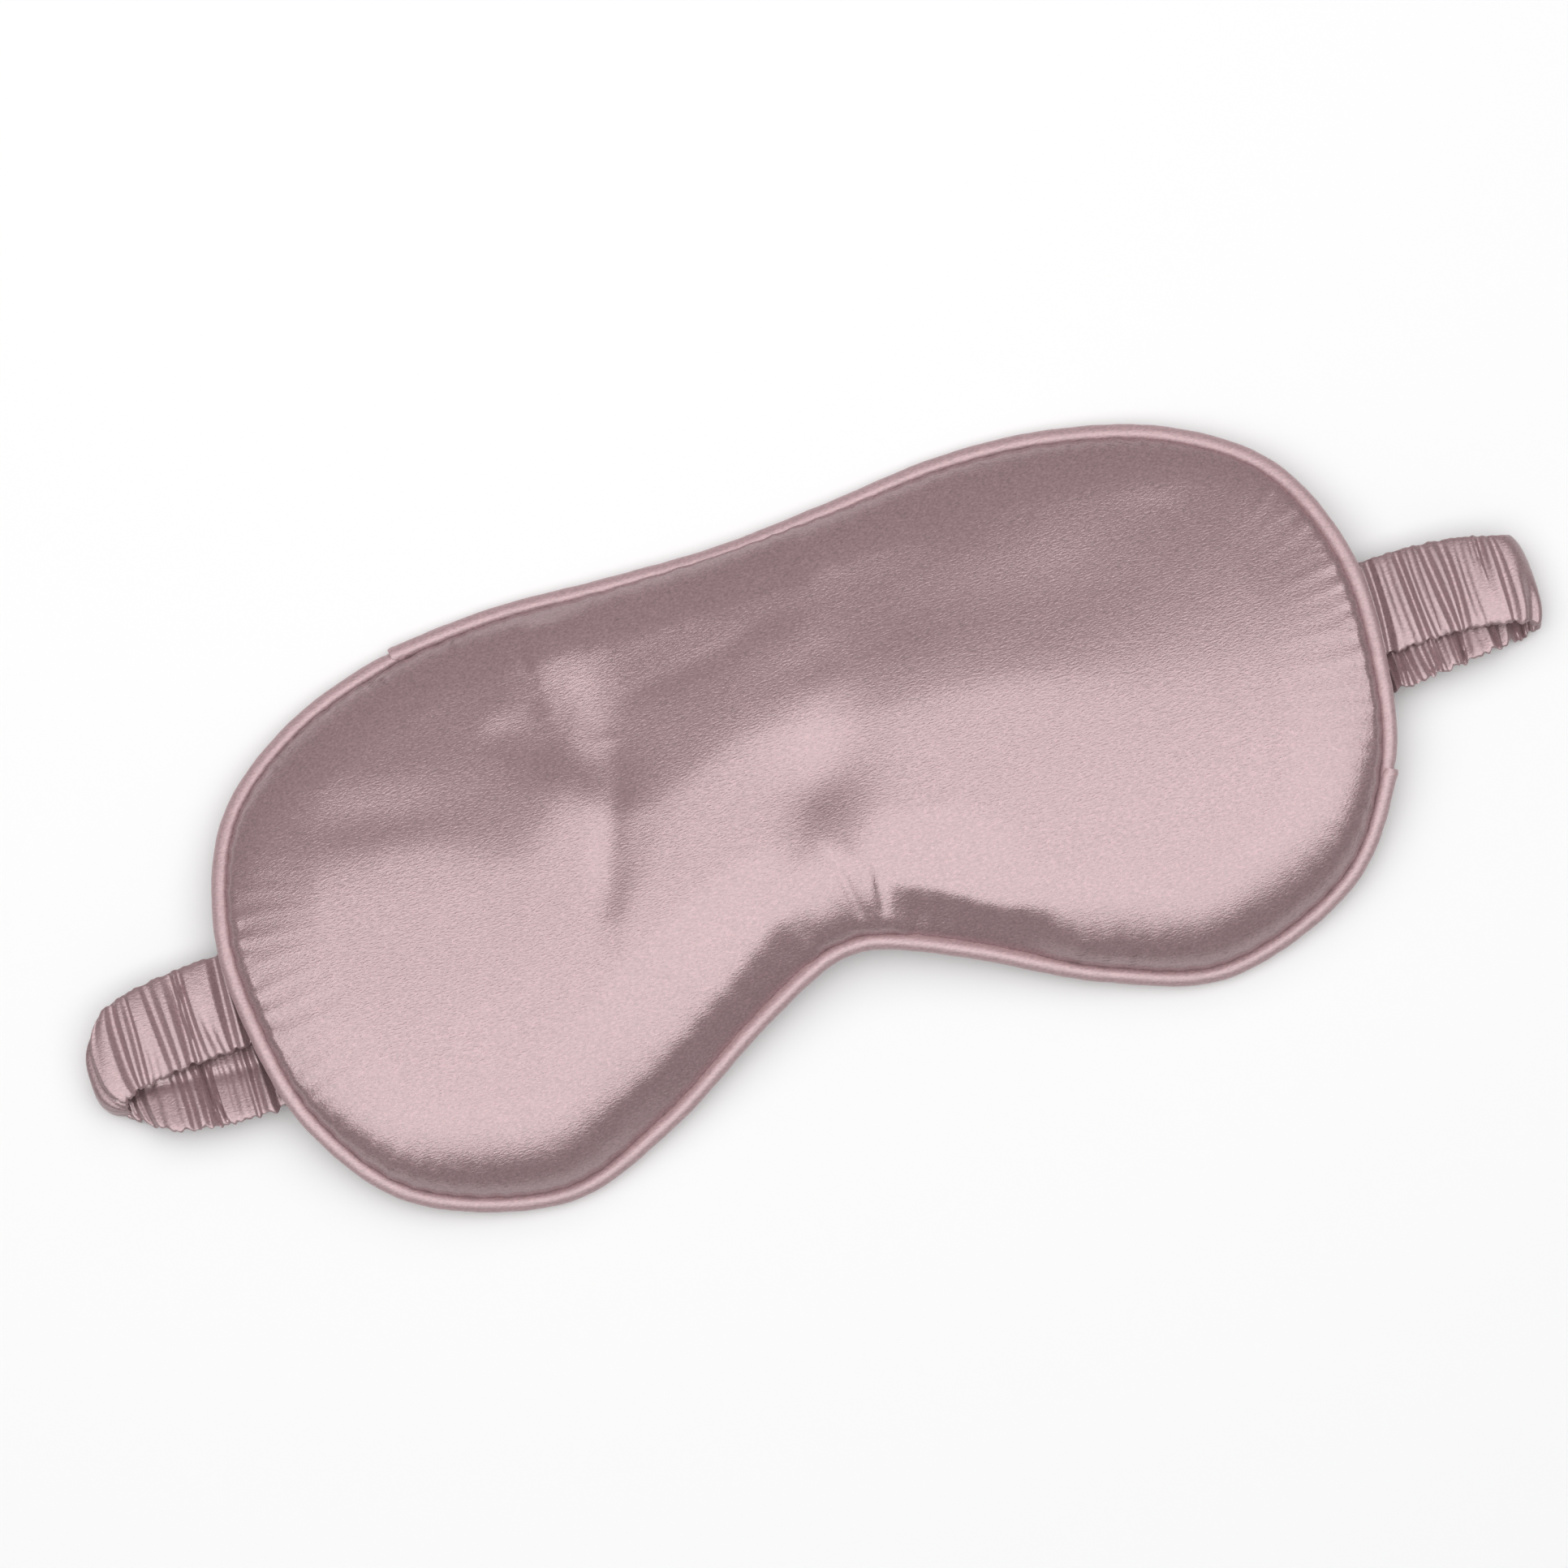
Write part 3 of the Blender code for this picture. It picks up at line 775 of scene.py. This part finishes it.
def strap_side(side):
    """One half of the strap in four pieces, each over the hinge that it covers."""
    at, turn_at, x, rings = strap_rings(side)
    s = SIDES[side]
    going = at <= turn_at
    arm_end = int(np.flatnonzero(going & (x <= PIECE_ENDS))[-1])
    apex = int(np.argmin(np.abs(at - turn_at)))
    back_start = int(np.flatnonzero(~going & (x <= PIECE_ENDS))[0])
    diagonal = TURN_RADIUS / math.sqrt(2)
    hinge_x = s * round(TURN_X + diagonal, 3)
    outer = np.array((hinge_x, ARM_Y, round(TURN_Z + diagonal, 3)))
    inner = np.array((hinge_x, ARM_Y, round(TURN_Z - diagonal, 3)))
    lean = np.array((s * 1.0, 0, -1.0)) / math.sqrt(2) * TURN_BLEND
    back = np.array((-s * 1.0, 0, -1.0)) / math.sqrt(2) * TURN_BLEND
    swing = [(s * (SWING_X + out), ARM_Y, ARM_START_Z) for out in (-SWING_BLEND, SWING_BLEND)]
    bend = [(s * (BEND_X + out), ARM_Y, STRAP_THICKNESS) for out in (BEND_BLEND, -BEND_BLEND)]
    # Each piece: its rings, the bodies at its two ends, where it bends, and the CAD nodes it stands for.
    arm_nodes = ["strap_end", "strap_sleeve_arm", "elastic_arm"]
    turn_nodes = ["strap_sleeve_turn", "elastic_turn"]
    back_nodes = ["strap_sleeve_back", "strap_sleeve_centre", "elastic_back", "elastic_centre"]
    spans = [
        ("mask_end", 0, arm_end, "mask", "strap_arm", swing, arm_nodes),
        ("outer_turn", arm_end, apex, "strap_arm", "strap_turn", (outer - lean, outer + lean), turn_nodes),
        ("inner_turn", apex, back_start, "strap_turn", "strap_back", (inner - back, inner + back), []),
        ("back", back_start, len(at) - 1, "strap_back", "strap_centre", bend, back_nodes),
    ]
    for label, first, last, near, far, (start, end), nodes in spans:
        obj = tube(f"strap_{label}_{side}", rings[first : last + 1])
        finish(obj, "strap_satin", [f"{n}_{side}" for n in nodes])
        near = near if near == "mask" else f"{near}_{side}"
        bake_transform(obj)


# ---------------------------------------------------------------- materials

MATERIALS = {}


def node(tree, kind, values=None, **settings):
    made = tree.nodes.new(kind)
    for key, value in settings.items():
        setattr(made, key, value)
    for key, value in (values or {}).items():
        made.inputs[key].default_value = value
    return made


def add_satin(name, colour, roughness, metallic, sheen):
    """Smooth satin: fine threads along the cloth, a slight mottle, and a grainy gloss."""
    made = bpy.data.materials.new(name)
    made.use_nodes = True
    tree = made.node_tree
    links = tree.links
    shader = tree.nodes["Principled BSDF"]
    shader.inputs["Roughness"].default_value = roughness
    shader.inputs["Specular IOR Level"].default_value = 1.0
    shader.inputs["Sheen Weight"].default_value = sheen
    shader.inputs["Sheen Roughness"].default_value = 0.45
    shader.inputs["Sheen Tint"].default_value = (1.0, 0.82, 0.85, 1)
    # Colour: the fine threads, times a broad drift.
    place = node(tree, "ShaderNodeTexCoord")
    floats = node(tree, "ShaderNodeMapping", {"Scale": (1.0, 2.5, 1.0)})
    links.new(place.outputs["Object"], floats.inputs["Vector"])
    fine = node(tree, "ShaderNodeTexNoise", {"Scale": 1500.0, "Detail": 3.0})
    links.new(floats.outputs["Vector"], fine.inputs["Vector"])
    broad = node(tree, "ShaderNodeTexNoise", {"Scale": 60.0, "Detail": 3.0})
    links.new(place.outputs["Object"], broad.inputs["Vector"])
    tone = node(tree, "ShaderNodeMix", {"Factor": 0.3}, data_type="RGBA")
    tone.inputs["A"].default_value = (*[c * 0.82 for c in colour], 1)
    tone.inputs["B"].default_value = (*[min(c * 1.2, 1) for c in colour], 1)
    spread = node(tree, "ShaderNodeMapRange", {"From Min": 0.3, "From Max": 0.7})
    links.new(fine.outputs["Fac"], spread.inputs["Value"])
    links.new(spread.outputs["Result"], tone.inputs["Factor"])
    drift = node(tree, "ShaderNodeMix", {"Factor": 0.5}, data_type="RGBA", blend_type="MULTIPLY")
    shade = node(tree, "ShaderNodeMapRange", {"To Min": 0.93, "To Max": 1.05})
    links.new(broad.outputs["Fac"], shade.inputs["Value"])
    links.new(tone.outputs["Result"], drift.inputs["A"])
    links.new(shade.outputs["Result"], drift.inputs["B"])
    links.new(drift.outputs["Result"], shader.inputs["Base Color"])
    # Gloss: grains that mirror more and less, over a fine bump.
    sparkle = node(tree, "ShaderNodeTexNoise", {"Scale": 2600.0, "Detail": 2.0})
    links.new(place.outputs["Object"], sparkle.inputs["Vector"])
    gloss = node(
        tree,
        "ShaderNodeMapRange",
        {"From Min": 0.35, "From Max": 0.65, "To Min": metallic * 0.55, "To Max": metallic * 1.45},
    )
    links.new(sparkle.outputs["Fac"], gloss.inputs["Value"])
    links.new(gloss.outputs["Result"], shader.inputs["Metallic"])
    bump = node(tree, "ShaderNodeBump", {"Strength": 0.7, "Distance": 0.00009})
    links.new(fine.outputs["Fac"], bump.inputs["Height"])
    links.new(bump.outputs["Normal"], shader.inputs["Normal"])
    MATERIALS[name] = made


def add_fibre(name, colour, roughness, scale, strength):
    """Matt cloth, cord or thread: a fine noise in its colour and its surface."""
    made = bpy.data.materials.new(name)
    made.use_nodes = True
    tree = made.node_tree
    shader = tree.nodes["Principled BSDF"]
    shader.inputs["Roughness"].default_value = roughness
    shader.inputs["Sheen Weight"].default_value = 0.3
    place = node(tree, "ShaderNodeTexCoord")
    noise = node(tree, "ShaderNodeTexNoise", {"Scale": scale, "Detail": 4.0})
    tree.links.new(place.outputs["Object"], noise.inputs["Vector"])
    tone = node(tree, "ShaderNodeMix", data_type="RGBA")
    tone.inputs["A"].default_value = (*[c * 0.85 for c in colour], 1)
    tone.inputs["B"].default_value = (*[min(c * 1.1, 1) for c in colour], 1)
    tree.links.new(noise.outputs["Fac"], tone.inputs["Factor"])
    tree.links.new(tone.outputs["Result"], shader.inputs["Base Color"])
    bump = node(tree, "ShaderNodeBump", {"Strength": strength, "Distance": 0.0002})
    tree.links.new(noise.outputs["Fac"], bump.inputs["Height"])
    tree.links.new(bump.outputs["Normal"], shader.inputs["Normal"])
    MATERIALS[name] = made


PINK = (0.30, 0.192, 0.202)


def make_materials():
    piping_pink = [c * 1.25 for c in PINK]
    strap_pink = [c * 0.97 for c in PINK]
    add_satin("front_satin", PINK, roughness=0.2, metallic=0.22, sheen=0.15)
    add_satin("lining_satin", PINK, roughness=0.2, metallic=0.22, sheen=0.15)
    add_satin("piping_satin", piping_pink, roughness=0.48, metallic=0.08, sheen=0.3)
    add_satin("strap_satin", strap_pink, roughness=0.3, metallic=0.22, sheen=0.2)
    add_fibre("blackout_cloth", (0.03, 0.03, 0.035), roughness=0.85, scale=2500, strength=0.5)
    add_fibre("cotton_cord", (0.80, 0.76, 0.70), roughness=0.9, scale=1800, strength=0.8)
    add_fibre("thread", (0.50, 0.32, 0.34), roughness=0.6, scale=3000, strength=0.5)


def finish(obj, slot, nodes):
    """Gives a piece its material and slot, and hides the CAD nodes that it stands for."""
    obj.data.materials.clear()
    obj.data.materials.append(MATERIALS[slot])
    if nodes:
        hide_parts(*nodes)


def dress_cad_nodes():
    """Every node still shown from the CAD gets its slot's cloth."""
    for part in frame["record"]["subparts"]:
        obj = frame["nodes"][part["node"]]
        if not obj.hide_render:
            obj.data.materials.clear()
            obj.data.materials.append(MATERIALS[part["material_slot"]])


# ---------------------------------------------------------------- floor, light and camera

# The camera looks almost straight down, with the mask turned in the picture.
TILT_IN_VIEW = 18.8
LEAN = 4.0
VIEW_SIDE = 272.9
TARGET = (-2.1, 5.2, 8.0)
CAMERA_DISTANCE = 1150.0
SENSOR = 36.0
FLOOR_REACH = 2500.0
FLOOR_LINES = 9


def add_floor():
    lines = np.linspace(-FLOOR_REACH, FLOOR_REACH, FLOOR_LINES)
    x, y = np.meshgrid(lines, lines)
    points = np.stack([x, y, np.zeros_like(x)], -1).reshape(-1, 3)
    floor = add_mesh("floor", points, grid_faces(FLOOR_LINES, FLOOR_LINES))
    made = bpy.data.materials.new("floor_paint")
    made.use_nodes = True
    shader = made.node_tree.nodes["Principled BSDF"]
    shader.inputs["Base Color"].default_value = (0.92, 0.92, 0.92, 1)
    shader.inputs["Roughness"].default_value = 0.9
    shader.inputs["Specular IOR Level"].default_value = 0.1
    floor.data.materials.append(made)
    # The strap's middle always lies on the floor, so the floor goes down with it as the strap opens.
    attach(floor, "strap_centre_left")


def add_area_light(name, place, aim, size, strength, roll=0.0):
    """A rectangular softbox at place that faces aim, turned by roll degrees; strength is in watts."""
    light = bpy.data.lights.new(name, "AREA")
    light.shape = "RECTANGLE"
    light.size, light.size_y = size[0] * MM, size[1] * MM
    light.energy = strength
    obj = bpy.data.objects.new(name, light)
    bpy.context.scene.collection.objects.link(obj)
    away = (Vector(place) - Vector(aim)).normalized()
    side = Vector((math.cos(math.radians(roll)), math.sin(math.radians(roll)), 0))
    side = (side - away * side.dot(away)).normalized()
    up = away.cross(side)
    turn = Matrix((side, up, away)).transposed().to_4x4()
    obj.matrix_world = Matrix.Translation(Vector(place) * MM) @ turn
    return obj


def add_lights():
    # The long softbox is what the satin mirrors; the overhead one gives the even light.
    key = add_area_light(
        "key_softbox", place=(0, -235, 620), aim=(0, -235, 0), size=(1700, 760), strength=12.8, roll=2.5
    )
    key.visible_diffuse = False
    top = add_area_light(
        "overhead_softbox", place=(0, 120, 700), aim=(0, 0, 0), size=(1500, 1500), strength=9.5
    )
    top.visible_glossy = False
    world = bpy.data.worlds.new("studio")
    world.use_nodes = True
    background = world.node_tree.nodes["Background"]
    background.inputs["Color"].default_value = (1.0, 1.0, 1.0, 1)
    background.inputs["Strength"].default_value = 0.3
    bpy.context.scene.world = world
    bpy.context.scene.view_settings.view_transform = "Standard"


def add_camera():
    lean, turn = math.radians(LEAN), math.radians(TILT_IN_VIEW)
    away = Vector((0, -math.sin(lean), math.cos(lean)))
    right = Vector((math.cos(turn), -math.sin(turn), 0))
    right = (right - away * right.dot(away)).normalized()
    up = away.cross(right)
    data = bpy.data.cameras.new("camera")
    data.sensor_width = SENSOR
    data.lens = SENSOR * CAMERA_DISTANCE / VIEW_SIDE
    data.clip_end = 20
    camera = bpy.data.objects.new("camera", data)
    bpy.context.scene.collection.objects.link(camera)
    place = (Vector(TARGET) + away * CAMERA_DISTANCE) * MM
    camera.matrix_world = Matrix.Translation(place) @ Matrix((right, up, away)).transposed().to_4x4()
    bpy.context.scene.camera = camera


make_materials()
front_panel()
lining_panel()
piping_length("piping_brow", BROW_JOIN, CHEEK_JOIN, "piping_cover_brow", seed=41)
piping_length("piping_cheek", CHEEK_JOIN, BROW_JOIN, "piping_cover_cheek", seed=52)
for side_name in SIDES:
    strap_side(side_name)
dress_cad_nodes()
add_floor()
add_lights()
add_camera()
